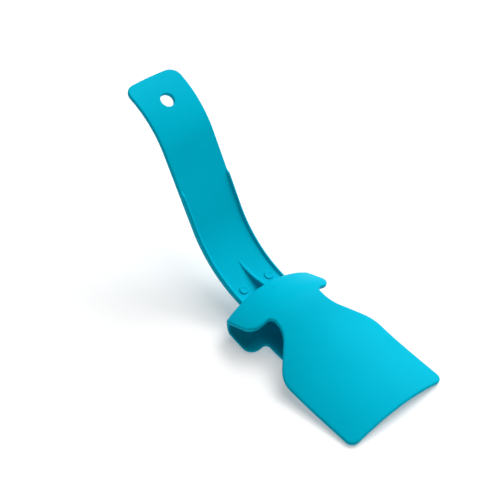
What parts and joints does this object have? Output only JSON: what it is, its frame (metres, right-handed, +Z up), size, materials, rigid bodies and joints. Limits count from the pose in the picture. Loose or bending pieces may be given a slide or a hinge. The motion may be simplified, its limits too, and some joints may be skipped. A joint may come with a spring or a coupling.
{
  "type": "shoe helper clip",
  "caption": "Long curved plastic handle with a hanging hole and a sprung, two-leaf clip that grips a shoe's heel, so the foot can slide in without bending down.",
  "frame": {"origin": "middle of the object's box at its base, on the surface it stands on", "axes": "+X along the tool, towards the blade's tip; +Z up; the tool is symmetric about Y = 0, and the handle rises towards -X"},
  "size_m": [0.2003, 0.0694, 0.1046],
  "materials": {
    "shell": "satin moulded cyan"
  },
  "bodies": {
    "handle_side": {"handle_strap": "shell", "left_lip": "shell", "right_lip": "shell", "left_stud": "shell", "right_stud": "shell", "clip_fold": "shell", "gusset": "shell", "foot_plate": "shell"},
    "blade_side": {"outer_blade": "shell"}
  },
  "joints": [
    {"name": "clip_spring", "type": "hinge", "parent": "handle_side", "child": "blade_side", "pos_m": [0.006, 0, 0.0233], "axis": [0, -1, 0], "range_deg": [0, 7], "stiffness_Nm_per_rad": 2}
  ]
}
